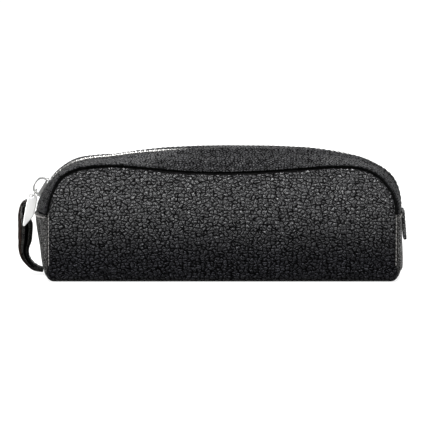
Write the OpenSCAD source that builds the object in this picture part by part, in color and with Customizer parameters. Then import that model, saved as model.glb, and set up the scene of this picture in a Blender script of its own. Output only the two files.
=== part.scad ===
// Fountain pen case: a zipped leather pouch built from its separate panels,
// zip parts, carry loop, end tab and linings.
// X is the length (carry loop at -X), the front panel faces -Y, Z is up.
// The origin is the centre of the flat resting face. Units: mm.

/* [Body] */
// half length of the front and rear panels
panel_half = 98; // [80:0.5:120]
// half depth of the base
base_half_y = 25.7; // [18:0.1:34]
// height of the turned-up edge of the base leather
base_rim = 4.9; // [3:0.1:8]
// thickness of the outer leather
leather = 1.8; // [1.2:0.1:2.6]
// thickness of the lining
lining = 0.8; // [0.4:0.1:1.2]
// how far the front and rear panels swell in the middle
panel_swell = 1.9; // [0:0.1:5]

/* [Zip] */
// distance from one tooth to the next in a row
tooth_pitch = 2.6; // [2:0.1:4]
// length of a tooth along the chain
tooth_len = 0.98; // [0.8:0.02:1.5]
// half gap between the two leather strips at the zip
strip_gap = 5.2; // [4.6:0.1:7]
// radius of the end bend of the zip
bend_r = 41.3; // [30:0.1:60]
// angle round that bend where the slider rests
slider_deg = 32; // [20:1:40]

/* [Slider and pull tab] */
// slider length
slider_len = 11.4; // [8:0.1:14]
// slider width
slider_wid = 8.6; // [8:0.1:9]
// pull tab length
tab_len = 19; // [12:0.5:30]
// pull tab width
tab_wid = 5.8; // [5:0.1:10]
// pull tab thickness
tab_thick = 1.2; // [0.8:0.1:2]

/* [Carry loop and end tab] */
// carry loop width
loop_wid = 8; // [6:0.5:10]
// carry loop thickness at its thickest
loop_thick = 8.6; // [3:0.1:10]
// end tab length
end_tab_len = 17; // [10:0.5:24]
// end tab width
end_tab_wid = 12; // [8:0.5:20]

/* [Hidden] */
$fn = 24;

bend_c = [-64.8, 27.8];
gap = 0.8;                       // between the base rim and the panels above it
panel_z0 = base_rim + gap;
seam_z = 38.4;                   // height of the cross seam at each end

// ---- curves ----
function cr(a, b, c, d, t) = 0.5 * ((2 * b) + (c - a) * t + (2 * a - 5 * b + 4 * c - d) * t * t
                                    + (3 * b - a - 3 * c + d) * t * t * t);
function spline(P, n) = concat([for (i = [0:len(P) - 2]) for (k = [0:n - 1])
    cr(P[max(0, i - 1)], P[i], P[i + 1], P[min(len(P) - 1, i + 2)], k / n)], [P[len(P) - 1]]);
function lens(P) = [for (i = 0, s = 0; i < len(P);
    s = s + (i + 1 < len(P) ? norm(P[i + 1] - P[i]) : 0), i = i + 1) s];
function seg(C, s, i) = (i >= len(C) - 2 || C[i + 1] >= s) ? i : seg(C, s, i + 1);
function at(P, C, s) = let (i = seg(C, s, 0), t = (s - C[i]) / (C[i + 1] - C[i]))
    P[i] * (1 - t) + P[i + 1] * t;
function tang(P, C, s) = let (e = 0.6, a = at(P, C, max(0, s - e)),
    b = at(P, C, min(C[len(C) - 1], s + e))) (b - a) / norm(b - a);
function unit(v) = v / norm(v);

// seam between the front panel and the zip strip, [x, z]; it sags in the middle
seam_pts = [[-98.5, 38.4], [-97.4, 44.2], [-95.5, 50.4], [-91, 58.6], [-83, 63.4],
            [-73, 65.3], [-60, 65.9], [-42, 64.6], [-22, 62.8], [0, 62.2], [22, 62.8],
            [44, 64.3], [64, 65.5], [78, 64.4], [88, 59.8], [94.4, 52.3], [97.3, 45.8],
            [98.1, 38.4]];
seam = spline(seam_pts, 6);
seam_c = lens(seam);
seam_l = seam_c[len(seam_c) - 1];

// middle line of the zip, [x, z]
zip_pts = concat([for (f = [14.6:6:57]) bend_c + bend_r * [-cos(f), sin(f)]],
    [[-83.5, 64.4], [-78.5, 65.9], [-72.5, 66.9], [-63, 67.8], [-49.5, 69.6], [-35, 70.8],
     [-20, 71.2], [0, 71.3], [22, 71.3], [48, 70.8], [63.5, 69.6], [77, 66.7], [83, 64],
     [89, 60.9], [94.2, 56.4], [97.4, 51.5], [99.5, 45.4], [100.3, 38.4]]);
zipl = spline(zip_pts, 6);
zip_c = lens(zipl);
zip_l = zip_c[len(zip_c) - 1];

// depth of the panel edge at height z
function edge_y(z) = lookup(z, [[0, 25.4], [5, 25.7], [12, 26.1], [22, 26.2], [38, 25.5],
                                [46, 24.4], [52, 23.3], [58, 22.1], [62, 21.4], [66, 20.7]]);

// ---- thick sheets from two grids of points ----
module sheet(O, I, flip = false) {
    n = len(O);
    m = len(O[0]);
    k = n * m;
    pts = concat([for (r = O) each r], [for (r = I) each r]);
    function q(a, b, c, d) = flip ? [[a, c, b], [a, d, c]] : [[a, b, c], [a, c, d]];
    faces = concat(
        [for (i = [0:n - 2]) for (j = [0:m - 2]) each
            q(i * m + j, i * m + j + 1, (i + 1) * m + j + 1, (i + 1) * m + j)],
        [for (i = [0:n - 2]) for (j = [0:m - 2]) each
            q(k + i * m + j, k + (i + 1) * m + j, k + (i + 1) * m + j + 1, k + i * m + j + 1)],
        [for (j = [0:m - 2]) each q(j, k + j, k + j + 1, j + 1)],
        [for (j = [0:m - 2]) each
            q((n - 1) * m + j, (n - 1) * m + j + 1, k + (n - 1) * m + j + 1, k + (n - 1) * m + j)],
        [for (i = [0:n - 2]) each q(i * m, (i + 1) * m, k + (i + 1) * m, k + i * m)],
        [for (i = [0:n - 2]) each
            q(i * m + m - 1, k + i * m + m - 1, k + (i + 1) * m + m - 1, (i + 1) * m + m - 1)]);
    polyhedron(points = pts, faces = faces, convexity = 6);
}

// ---- front and rear panels: a patch between four edge curves ----
seam_a = 0.088 * seam_l;
seam_b = 0.912 * seam_l;
function inset(p, d) = p - d * unit([p[0] * 0.45, p[1] - 26]);
function side_curve(sx, d) = spline(concat(
    [[sx * (panel_half - 0.3 - d), panel_z0], [sx * (panel_half - 0.1 - d), 15],
     [sx * (panel_half - d), 27], inset(at(seam, seam_c, sx < 0 ? 0 : seam_l), 0.5 + d)],
    [for (k = [1:4]) inset(at(seam, seam_c, sx < 0 ? seam_a * k / 4
                              : seam_l - (seam_l - seam_b) * k / 4), 0.5 + d)]), 4);
function coons(u, v, L, LC, R, RC, d) =
    let (b0 = L[0], b1 = R[0], t0 = L[len(L) - 1], t1 = R[len(R) - 1],
         lv = at(L, LC, v * LC[len(LC) - 1]), rv = at(R, RC, v * RC[len(RC) - 1]),
         bu = b0 * (1 - u) + b1 * u,
         tu = inset(at(seam, seam_c, seam_a + (seam_b - seam_a) * u), 0.5 + d))
    bu * (1 - v) + tu * v + lv * (1 - u) + rv * u
    - (b0 * (1 - u) * (1 - v) + b1 * u * (1 - v) + t0 * (1 - u) * v + t1 * u * v);
function swell(x, z) = let (a = min(1, abs(x) / (panel_half + 0.5)), b = z < 33 ? (33 - z) / 28 : (z - 33) / 33)
    panel_swell * (1 - pow(a, 5)) * (1 - pow(min(1, b), 4));
function panel_y(x, z) = edge_y(z) + swell(x, z);
function panel_grid(nu, nv, d, off, sy) =
    let (L = side_curve(-1, d), R = side_curve(1, d), LC = lens(L), RC = lens(R))
    [for (j = [0:nv]) [for (i = [0:nu])
        let (u0 = i / nu, u = 0.5 - 0.5 * cos(180 * u0) * 0.35 - 0.65 * (0.5 - u0),
             v = j / nv, p = coons(u, v, L, LC, R, RC, d))
        [p[0], sy * (panel_y(p[0], p[1]) - off), p[1]]]];
module panel(sy) {
    O = panel_grid(30, 13, 0, 0, sy);
    I = panel_grid(30, 13, 0, leather, sy);
    sheet(O, I, sy < 0);
}
module panel_lining(sy) {
    O = panel_grid(16, 7, 2.6, leather + 0.25, sy);
    I = panel_grid(16, 7, 2.6, leather + 0.25 + lining, sy);
    sheet(O, I, sy < 0);
}

// ---- zip strips: leather from the panel seam up to the zip ----
strip_n = 46;
// each point: share of the way from the seam to the zip, height, and height that comes
// with the fullness of the strip there
strip_out = [[0, 0.15, 0], [0.012, 0.7, 0.2], [0.06, 0.9, 0.6], [0.16, 1, 1.3], [0.34, 1.05, 2.5],
             [0.56, 1, 3.3], [0.76, 0.9, 3.5], [0.9, 0.8, 2.3], [0.975, 0.65, 0.6], [1, 0.35, 0]];
strip_in = [[0.01, -0.25, 0.1], [0.05, -0.3, 0.4], [0.1, -0.2, 0.8], [0.2, -0.1, 1.5],
            [0.36, -0.05, 2.4], [0.56, -0.1, 3.1], [0.74, -0.15, 3.2], [0.87, -0.2, 2.2],
            [0.95, -0.3, 0.9], [1, -0.35, 0]];
function strip_frame(f, sy) =
    let (s = at(seam, seam_c, f * seam_l), z = at(zipl, zip_c, f * zip_l),
         S = [s[0], sy * (edge_y(s[1]) - 0.1), s[1]], Z = [z[0], sy * strip_gap, z[1]],
         ts = tang(seam, seam_c, f * seam_l), tz = tang(zipl, zip_c, f * zip_l),
         t = unit([ts[0] + tz[0], 0, ts[1] + tz[1]]), c = Z - S,
         n = unit(cross(t, c) * (sy < 0 ? 1 : -1)))
    [S, c, n];
// fullness: most round the end bend and along the sagging middle of the case
function fullness(f) = lookup(f, [[0, 0.3], [0.03, 0.6], [0.06, 1], [0.11, 1], [0.14, 0.7],
    [0.165, 0.3], [0.19, 0.02], [0.25, 0.02], [0.3, 0.25], [0.36, 0.6], [0.41, 0.83], [0.47, 1],
    [0.56, 1], [0.64, 0.85], [0.7, 0.62], [0.76, 0.3], [0.8, 0.12], [0.86, 0.08], [0.9, 0.15],
    [0.95, 0.25], [1, 0.2]]);
function strip_row(f, sy, prof) = let (F = strip_frame(f, sy), k = fullness(f))
    [for (p = prof) F[0] + F[1] * p[0] + F[2] * (p[1] + k * p[2])];
module zip_strip(sy) {
    O = [for (i = [0:strip_n]) strip_row(0.001 + 0.998 * i / strip_n, sy, strip_out)];
    I = [for (i = [0:strip_n]) strip_row(0.001 + 0.998 * i / strip_n, sy, strip_in)];
    sheet(O, I, sy < 0);
}

// ---- zip tapes, teeth and stops: all placed along the middle line of the zip ----
function zip_n(s) = let (t = tang(zipl, zip_c, s)) [-t[1], t[0]];
function zip_pt(s, a, n) = let (p = at(zipl, zip_c, s), d = zip_n(s))
    [p[0] + d[0] * n, a, p[1] + d[1] * n];
tape_n = 48;
// the tape lies flat by the teeth, then runs under the leather strip
tape_under = [[0.995, -0.75, 0], [0.93, -0.65, 0.9], [0.84, -0.5, 2.1], [0.76, -0.45, 2.8]];
function tape_row(s, sy, h) = let (F = strip_frame(s / zip_l, sy), k = fullness(s / zip_l))
    concat([zip_pt(s, sy * 1.95, h), zip_pt(s, sy * 4.5, h)],
           [for (p = tape_under) F[0] + F[1] * p[0] + F[2] * (p[1] + k * p[2] + h - tape_half)]);
tape_half = 0.22;     // half the thickness of the tape
module zip_tape(sy) {
    O = [for (i = [0:tape_n]) tape_row(0.6 + (zip_l - 1.2) * i / tape_n, sy, tape_half)];
    I = [for (i = [0:tape_n]) tape_row(0.6 + (zip_l - 1.2) * i / tape_n, sy, -tape_half)];
    sheet(O, I, sy > 0);
}
// arc length where the slider rests
slider_s = bend_r * (slider_deg - 14.6) * PI / 180;
tooth_s0 = slider_s + 1.6;
tooth_s1 = zip_l - 10.5;
module on_zip(s) {
    p = at(zipl, zip_c, s);
    t = tang(zipl, zip_c, s);
    // local axes: x along the zip towards the crown, y across it, z outward
    multmatrix([[t[0], 0, -t[1], p[0]], [0, 1, 0, 0], [t[1], 0, t[0], p[1]], [0, 0, 0, 1]])
        children();
}
module tooth(sy) {
    translate([-tooth_len / 2, 0, 0]) rotate([90, 0, 90]) linear_extrude(tooth_len)
        polygon([[sy * -1.15, -0.85], [sy * -1.15, 0.85], [sy * -0.7, 1.3], [sy * 1.7, 1.3],
                 [sy * 3.2, 1.05], [sy * 3.2, 0.55], [sy * 1.85, 0.55], [sy * 1.85, -0.55],
                 [sy * 3.2, -0.55], [sy * 3.2, -1.05], [sy * 1.7, -1.3], [sy * -0.7, -1.3]]);
}
module teeth(sy) {
    off = sy < 0 ? 0 : tooth_pitch / 2;
    count = floor((tooth_s1 - tooth_s0) / tooth_pitch);
    for (i = [0:count]) on_zip(tooth_s0 + off + i * tooth_pitch) tooth(sy);
}
module top_stop(sy) {
    on_zip(slider_s - slider_len / 2 - 2.6) difference() {
        translate([-1.3, sy < 0 ? -3.6 : 0.5, -1.1]) cube([2.6, 3.1, 2.2]);
        translate([-2, sy < 0 ? -5 : 1.8, -0.5]) cube([4, 3.2, 1]);
    }
}
module bottom_stop() {
    on_zip(zip_l - 6.2) difference() {
        translate([-1.8, -3.4, -1.35]) cube([3.6, 6.8, 2.7]);
        for (sy = [-1, 1])
            translate([-3, sy < 0 ? -5 : 1.8, -0.6]) cube([6, 3.2, 1.2]);
    }
}

// ---- slider ----
module slider_plan() {
    hull() {
        translate([slider_len / 2 - 1.2, slider_wid / 2 - 2.2]) circle(1.2);
        translate([slider_len / 2 - 1.2, -slider_wid / 2 + 2.2]) circle(1.2);
        translate([-slider_len / 2 + 1.6, slider_wid / 2 - 1.6]) circle(1.6);
        translate([-slider_len / 2 + 1.6, -slider_wid / 2 + 1.6]) circle(1.6);
    }
}
module slider_body() {
    on_zip(slider_s) difference() {
        translate([0, 0, -2.7]) linear_extrude(5.4) slider_plan();
        // the channel for the teeth, leaving the separating post at the mouth
        difference() {
            translate([-7, -3.55, -1.85]) cube([14, 7.1, 3.55]);
            translate([-slider_len / 2 + 0.4, 0, -3]) linear_extrude(6)
                polygon([[0, -0.9], [0.9, -1.5], [3.4, 0], [0.9, 1.5], [0, 0.9]]);
        }
        // slots for the tapes
        for (a = [-6, 1.8]) translate([-7, a, -0.6]) cube([14, 4.2, 1.2]);
    }
}
bridge_h = 4.8;
bridge_half = 5.3;
bridge_w = 1.9;
bridge_dx = -0.2;
module slider_bridge() {
    n = 16;
    // a low arch on the upper plate
    outer = [for (i = [0:n]) let (a = 180 * i / n)
        [bridge_dx - bridge_half * cos(a), 2.74 + bridge_h * pow(sin(a), 0.62)]];
    inner = [for (i = [n:-1:0]) let (a = 180 * i / n)
        [bridge_dx - (bridge_half - 1.05) * cos(a), 2.74 + (bridge_h - 0.95) * pow(sin(a), 0.62)]];
    on_zip(slider_s) rotate([90, 0, 0]) translate([0, 0, -bridge_w / 2])
        linear_extrude(bridge_w) polygon(concat(outer, inner));
}

// ---- pull link: a wire loop through the bridge; the pull tab hangs on its outer bar ----
wire = 0.45;
link_half = 4.4;      // half width between the centres of the side bars
link_len = 4.0;
eye_local = [bridge_dx - bridge_half + 1.95, 4.4];
function on_zip_pt(s, a, n) = let (p = at(zipl, zip_c, s), t = tang(zipl, zip_c, s))
    [p[0] + t[0] * a - t[1] * n, 0, p[1] + t[1] * a + t[0] * n];
eye = on_zip_pt(slider_s, eye_local[0], eye_local[1]);
link_dir = [-0.58, 0, -0.8146];
bar = eye + link_len * link_dir;
module round_rect(wid, high, r) {
    polygon([for (q = [[1, 1, 0], [-1, 1, 90], [-1, -1, 180], [1, -1, 270]]) for (a = [0:15:90])
        [q[0] * (wid / 2 - r) + r * cos(a + q[2]), q[1] * (high / 2 - r) + r * sin(a + q[2])]]);
}
module pull_link() {
    // in its own plane the link spans Y and the line from the eye to the bar
    m = (eye + bar) / 2;
    e = link_dir;
    multmatrix([[0, e[0], e[2], m[0]], [1, 0, 0, 0], [0, e[2], -e[0], m[2]], [0, 0, 0, 1]])
        translate([0, 0, -wire]) linear_extrude(2 * wire) difference() {
            round_rect(2 * (link_half + wire), link_len + 2 * wire, 1.2);
            round_rect(2 * (link_half - wire), link_len - 2 * wire, 0.6);
        }
}
tab_y = -2.85;        // the tab has slid to the front end of the bar
module pull_tab() {
    // axes of the tab: d down its length, f its face, w across it
    d = unit([-0.25, -0.1, -0.96]);
    f = unit(cross(cross(d, [-0.08, -1, 0]), d));
    w = cross(f, d) * -1;
    h = tab_wid / 2;
    o = bar + [0, tab_y, 0];
    multmatrix([[w[0], d[0], f[0], o[0]], [w[1], d[1], f[1], o[1]],
                [w[2], d[2], f[2], o[2]], [0, 0, 0, 1]])
        translate([0, 0, -tab_thick / 2]) linear_extrude(tab_thick) difference() {
            polygon([[-1.4, -1.9], [1.4, -1.9], [2, -1.3], [h, tab_len * 0.45],
                     [h - 0.2, tab_len * 0.62], [h - 0.9, tab_len * 0.68], [-1.7, tab_len - 1.9],
                     [-h + 0.5, tab_len - 1.7], [-h - 0.1, tab_len - 2.6], [-h, tab_len * 0.45],
                     [-2, -1.3]]);
            circle(r = 1.15);
        }
}

// ---- base: a shallow leather tray with rounded edges ----
module round_bar(len, wid, high, r) {
    // a bar along X, section wid by high, lower edges rounded by r
    rotate([90, 0, 90]) translate([0, 0, -len / 2]) linear_extrude(len)
        polygon(concat([for (k = [0:8]) [-wid / 2 + r - r * cos(k * 11.25), r - r * sin(k * 11.25)]],
                       [for (k = [8:-1:0]) [wid / 2 - r + r * cos(k * 11.25), r - r * sin(k * 11.25)]],
                       [[wid / 2, high], [-wid / 2, high]]));
}
end_swell = 3.2;      // how far the ends of the base swell in the middle
// each end is part of a wide arc through the corners and the swollen middle
end_rad = (base_half_y * base_half_y + end_swell * end_swell) / (2 * end_swell);
end_x = panel_half + 0.3 + end_swell - end_rad;     // centre of that arc
module round_disc(rad, high, r) {
    rotate_extrude($fn = 120) polygon(concat([[0, 0]],
        [for (k = [8:-1:0]) [rad - r + r * cos(k * 11.25), r - r * sin(k * 11.25)]],
        [[rad, high], [0, high]]));
}
module tray(in, high) {
    // in: how far inside the outer surface
    r = base_rim - in;
    intersection() {
        round_bar(2 * panel_half + 20, 2 * (base_half_y - in), high, r);
        translate([end_x, 0, 0]) round_disc(end_rad - in, high, r);
        translate([-end_x, 0, 0]) round_disc(end_rad - in, high, r);
    }
}
module base_panel() {
    difference() {
        tray(0, base_rim);
        translate([0, 0, leather]) tray(leather, 10);
    }
}
module base_stiffener() {
    translate([-panel_half + 5, -base_half_y + 5, leather + 0.05])
        cube([2 * panel_half - 10, 2 * base_half_y - 10, 1.2]);
}
module base_lining() {
    translate([-panel_half + 5, -base_half_y + 4.9, leather + 1.3])
        cube([2 * panel_half - 10, 2 * base_half_y - 9.8, lining]);
}

// ---- end gussets below the cross seam ----
function gus_x(sx, y, z, off) =
    let (w = edge_y(z) - leather - 0.5, a = min(1, abs(y) / w),
         t = max(0, (z - 5) / (seam_z - 5)),
         b = sx < 0 ? 3.2 + 4.7 * pow(t, 0.8) : 3.9 - 1.3 * pow(t, 0.8) + sin(180 * pow(min(1, t), 0.6)))
    sx * (panel_half + 0.5 + b * pow(max(0, 1 - a * a), 0.75) - (a > 0.97 ? 0.5 : 0) - off);
function gus_grid(sx, nu, nv, off, dz0, dz1, dw) =
    [for (j = [0:nv]) [for (i = [0:nu])
        let (z = panel_z0 - 0.3 + dz0 + (seam_z - 0.8 - panel_z0 + 0.3 - dz0 - dz1) * j / nv,
             w = edge_y(z) - leather - 0.5 - dw, y = -w * cos(180 * i / nu),
             roll = j == nv ? 0.5 : 0)
        [gus_x(sx, y, z, off + roll), y, z - 0.5 * pow(sin(180 * i / nu), 2) * j / nv]]];
module end_gusset(sx) {
    sheet(gus_grid(sx, 16, 12, 0, 0, 0, 0), gus_grid(sx, 16, 12, 1.5, 0, 0, 0), sx < 0);
}
module end_lining(sx) {
    sheet(gus_grid(sx, 12, 8, 1.75, 0.6, 1.2, 1.4), gus_grid(sx, 12, 8, 1.75 + lining, 0.6, 1.2, 1.4),
          sx < 0);
}

// ---- carry loop: a rolled leather strap sewn to the left end ----
loop_y = 1.8;
loop_pts = [[-107.3, 38.4], [-109, 41.2], [-111.2, 42], [-113.2, 39.8], [-113.2, 34.5],
            [-112, 28], [-112.2, 21], [-113, 15.8], [-112.4, 11], [-110.2, 7.2], [-106.8, 4.3],
            [-101.9, 2.9]];
loopl = spline(loop_pts, 5);
loop_c = lens(loopl);
loop_l = loop_c[len(loop_c) - 1];
loop_n = 34;
loop_k = 16;
// the strap is doubled at the middle of the loop and single where it is sewn in
function loop_half(f) = loop_thick / 2 * lookup(f, [[0, 0.19], [0.1, 0.3], [0.16, 0.4],
    [0.27, 0.67], [0.38, 1], [0.53, 0.93], [0.63, 0.74], [0.72, 0.6], [0.8, 0.48], [0.89, 0.42],
    [1, 0.3]]);
function loop_ring(f) =
    let (p = at(loopl, loop_c, f * loop_l), t = tang(loopl, loop_c, f * loop_l),
         n = [-t[1], t[0]], h = loop_half(f), w = loop_wid / 2)
    [for (k = [0:loop_k - 1])
        let (a = 360 * k / loop_k, ca = cos(a), sa = sin(a),
             y = w * sign(ca) * pow(abs(ca), 0.45), m = h * sign(sa) * pow(abs(sa), 0.7))
        [p[0] + n[0] * m, loop_y + y, p[1] + n[1] * m]];
module carry_loop() {
    R = [for (i = [0:loop_n]) loop_ring(i / loop_n)];
    pts = concat([for (r = R) each r], [for (e = [0, loop_n]) let (p = at(loopl, loop_c,
        e / loop_n * loop_l)) [p[0], loop_y, p[1]]]);
    k = loop_k;
    last = (loop_n + 1) * k;
    faces = concat(
        [for (i = [0:loop_n - 1]) for (j = [0:k - 1])
            each [[i * k + j, i * k + (j + 1) % k, (i + 1) * k + (j + 1) % k],
                  [i * k + j, (i + 1) * k + (j + 1) % k, (i + 1) * k + j]]],
        [for (j = [0:k - 1]) [last, (j + 1) % k, j]],
        [for (j = [0:k - 1]) [last + 1, loop_n * k + j, loop_n * k + (j + 1) % k]]);
    polyhedron(points = pts, faces = faces, convexity = 6);
}

// ---- end tab at the right: a folded leather tab hanging from the cross seam ----
module end_tab() {
    x0 = panel_half + 3.6;
    top_z = seam_z - 0.4;
    translate([x0, 0, top_z]) rotate([0, -4.7, 0]) translate([0, 0, -end_tab_len])
        rotate([90, 0, 90]) linear_extrude(1.7) difference() {
            translate([-end_tab_wid / 2, 0]) square([end_tab_wid, end_tab_len]);
            for (s = [-1, 1]) translate([s * end_tab_wid / 2, 0]) rotate(45)
                square(2.2, center = true);
        }
    // its upper edge turns into the cross seam
    translate([x0 - 2.4, -end_tab_wid / 2 + 0.6, top_z - 0.55]) cube([3.2, end_tab_wid - 1.2, 0.5]);
}

color("#1b1b1d") base_panel();
color("#6b5a44") base_stiffener();
color("#3a3a3d") base_lining();
color("#222225") panel(-1);  // front_panel
color("#222225") panel(1);  // rear_panel
color("#3a3a3d") panel_lining(-1);  // front_lining
color("#3a3a3d") panel_lining(1);  // rear_lining
color("#1f1f22") end_gusset(-1);  // left_end_gusset
color("#1f1f22") end_gusset(1);  // right_end_gusset
color("#3a3a3d") end_lining(-1);  // left_end_lining
color("#3a3a3d") end_lining(1);  // right_end_lining
color("#29292c") zip_strip(-1);  // front_zip_strip
color("#29292c") zip_strip(1);  // rear_zip_strip
color("#101012") zip_tape(-1);  // front_zip_tape
color("#101012") zip_tape(1);  // rear_zip_tape
color("#c8c8cc") teeth(-1);  // front_teeth
color("#c8c8cc") teeth(1);  // rear_teeth
color("#c8c8cc") top_stop(-1);  // front_top_stop
color("#c8c8cc") top_stop(1);  // rear_top_stop
color("#c8c8cc") bottom_stop();
color("#d4d4d8") slider_body();
color("#dcdce0") slider_bridge();
color("#c9c9cd") pull_link();
color("#dcdce0") pull_tab();
color("#1d1c1c") carry_loop();
color("#2a2a2c") end_tab();
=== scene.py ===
import math

import bmesh
import bpy
import numpy as np
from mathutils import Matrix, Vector


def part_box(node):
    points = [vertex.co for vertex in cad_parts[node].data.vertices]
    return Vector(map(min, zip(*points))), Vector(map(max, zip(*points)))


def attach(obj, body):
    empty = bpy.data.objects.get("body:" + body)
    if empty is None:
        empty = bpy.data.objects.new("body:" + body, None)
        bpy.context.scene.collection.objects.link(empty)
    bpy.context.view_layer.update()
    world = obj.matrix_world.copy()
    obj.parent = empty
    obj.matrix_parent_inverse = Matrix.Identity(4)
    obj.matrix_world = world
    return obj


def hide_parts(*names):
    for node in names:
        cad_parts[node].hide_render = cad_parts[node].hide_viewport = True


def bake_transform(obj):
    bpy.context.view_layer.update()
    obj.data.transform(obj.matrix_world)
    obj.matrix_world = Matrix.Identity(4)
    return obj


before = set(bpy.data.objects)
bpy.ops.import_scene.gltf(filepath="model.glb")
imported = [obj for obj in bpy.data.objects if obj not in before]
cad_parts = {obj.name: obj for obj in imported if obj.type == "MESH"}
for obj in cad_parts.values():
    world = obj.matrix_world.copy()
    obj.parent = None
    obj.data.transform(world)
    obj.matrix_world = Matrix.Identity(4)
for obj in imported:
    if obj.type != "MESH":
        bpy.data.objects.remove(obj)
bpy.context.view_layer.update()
print("frame loaded with", len(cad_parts), "nodes")

# shapes are worked out in millimetres, and meshes are made in metres
mm = 0.001
fullTurn = 6.283


def boxMm(node):
    low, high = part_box(node)
    return np.array(low) / mm, np.array(high) / mm


def pointsAt(*coordinates):
    # points from lists of their coordinates
    return np.stack(coordinates, -1)


def smoothPath(points, per):
    # a curve through the points, with so many steps for each span
    p = np.array(points, float)
    out = []
    for i in range(len(p) - 1):
        a, b = p[max(0, i - 1)], p[i]
        c, d = p[i + 1], p[min(len(p) - 1, i + 2)]
        for k in range(per):
            t = k / per
            out.append(0.5 * (2 * b + (c - a) * t + (2 * a - 5 * b + 4 * c - d) * t * t
                              + (3 * b - a - 3 * c + d) * t ** 3))
    out.append(p[-1])
    return np.array(out)


class Path:
    # a smooth line that can be asked for the point and direction at any length along it
    def __init__(self, points):
        self.p = smoothPath(points, 14)
        self.s = np.concatenate([[0], np.cumsum(np.linalg.norm(np.diff(self.p, axis=0), axis=1))])
        self.length = self.s[-1]

    def at(self, s):
        return pointsAt(*[np.interp(s, self.s, self.p[:, k]) for k in range(self.p.shape[1])])

    def along(self, s):
        reach = 0.6
        d = self.at(np.minimum(s + reach, self.length)) - self.at(np.maximum(s - reach, 0))
        return d / np.linalg.norm(d, axis=-1, keepdims=True)


def unit(v):
    return v / np.linalg.norm(v, axis=-1, keepdims=True)


def ripple(x, y, seed, wave):
    # gentle unevenness between -1 and 1, from a few crossed waves
    rng = np.random.default_rng(seed)
    total = 0
    for _ in range(6):
        angle, phase, size = rng.uniform(0, math.pi), rng.uniform(0, 6.28), rng.uniform(0.7, 1.9)
        place = x * math.cos(angle) + y * math.sin(angle)
        total = total + np.sin(place * fullTurn / (wave * size) + phase)
    return total / 3.2


def beat(run, pitch, shift=0):
    # puckers between 0 and 1 that come once every pitch
    return 0.5 + 0.5 * np.cos(run * fullTurn / pitch + shift)


def bell(x, middle, reach):
    # 1 at the middle, and hardly anything past twice the reach
    return np.exp(-((x - middle) / reach) ** 2)


def rise(x, start, reach):
    # 0 up to the start, then evenly up to 1 over the reach
    return np.clip((x - start) / reach, 0, 1)


def rounded(gap, radius):
    # how far an edge has turned away, at the distance gap from its end
    g = np.clip(radius - gap, 0, radius)
    return radius - np.sqrt(np.maximum(radius * radius - g * g, 0))


# meshes

def showObject(name, data):
    made = bpy.data.objects.new(name, data)
    bpy.context.scene.collection.objects.link(made)
    return made


def coat(mesh, material):
    mesh.materials.clear()
    mesh.materials.append(material)


def addMesh(name, verts, faces, material, body):
    # a smooth piece, put on its body when one is given
    mesh = bpy.data.meshes.new(name)
    mesh.from_pydata((np.asarray(verts) * mm).tolist(), [], faces)
    mesh.update()
    b = bmesh.new()
    b.from_mesh(mesh)
    bmesh.ops.recalc_face_normals(b, faces=b.faces)
    b.to_mesh(mesh)
    b.free()
    mesh.shade_smooth()
    mesh.materials.append(material)
    piece = showObject(name, mesh)
    if body:
        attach(piece, body)
    return piece


def standFor(nodeName):
    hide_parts(nodeName)


def bendWithEnds(piece):
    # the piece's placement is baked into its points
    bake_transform(piece)


def bendWithBase(piece):
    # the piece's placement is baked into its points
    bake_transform(piece)


def gridFaces(n, m, start=0, closed=False):
    wrap = m if closed else m - 1
    return [(start + i * m + j, start + i * m + (j + 1) % m, start + (i + 1) * m + (j + 1) % m,
             start + (i + 1) * m + j) for i in range(n - 1) for j in range(wrap)]


def layOut(piece, hide):
    # where each point lies on the flat hide, in metres, so that the grain runs over bends unstretched
    layer = piece.data.attributes.new("hide", "FLOAT_VECTOR", "POINT")
    flat = np.zeros((len(piece.data.vertices), 3), np.float32)
    flat[:len(hide), :2] = hide * mm
    layer.data.foreach_set("vector", flat.ravel())


def runOver(grid, axis):
    # length along rows or columns of a grid of points, from its first line
    steps = np.linalg.norm(np.diff(grid, axis=axis), axis=-1)
    first = np.zeros_like(np.take(steps, [0], axis=axis))
    return np.concatenate([first, np.cumsum(steps, axis=axis)], axis=axis)


def closedSheet(name, outer, inner, material, body):
    # two grids of points joined round their rims
    n, m = outer.shape[:2]
    k = n * m
    verts = np.concatenate([outer.reshape(-1, 3), inner.reshape(-1, 3)])
    faces = gridFaces(n, m) + gridFaces(n, m, k)
    rim = list(range(m)) + [i * m + m - 1 for i in range(1, n)]
    rim += [(n - 1) * m + j for j in range(m - 2, -1, -1)] + [i * m for i in range(n - 2, 0, -1)]
    for a, b in zip(rim, rim[1:] + rim[:1]):
        faces.append((a, b, k + b, k + a))
    piece = addMesh(name, verts, faces, material, body)
    across = runOver(outer, 1)
    over = np.stack([across - across[:, [m // 2]], runOver(outer, 0)], -1).reshape(-1, 2)
    layOut(piece, np.concatenate([over, over]))
    return piece


def closedRod(name, rings, material, body):
    # closed sections one after another, capped at both ends
    n, m = rings.shape[:2]
    verts = np.concatenate([rings.reshape(-1, 3), rings[0].mean(0)[None], rings[-1].mean(0)[None]])
    faces = gridFaces(n, m, 0, True)
    faces += [(n * m, j, (j + 1) % m) for j in range(m)]
    faces += [(n * m + 1, (n - 1) * m + j, (n - 1) * m + (j + 1) % m) for j in range(m)]
    piece = addMesh(name, verts, faces, material, body)
    centre = runOver(rings.mean(1)[:, None], 0)[:, 0]
    layOut(piece, pointsAt(np.repeat(centre[:, None], m, 1), runOver(rings, 1)).reshape(-1, 2))
    return piece


def paintFaces(piece, mask, material):
    # the first faces of the piece, where the mask is true, get one more material
    piece.data.materials.append(material)
    for face in np.flatnonzero(mask.ravel()):
        piece.data.polygons[int(face)].material_index = len(piece.data.materials) - 1


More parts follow.
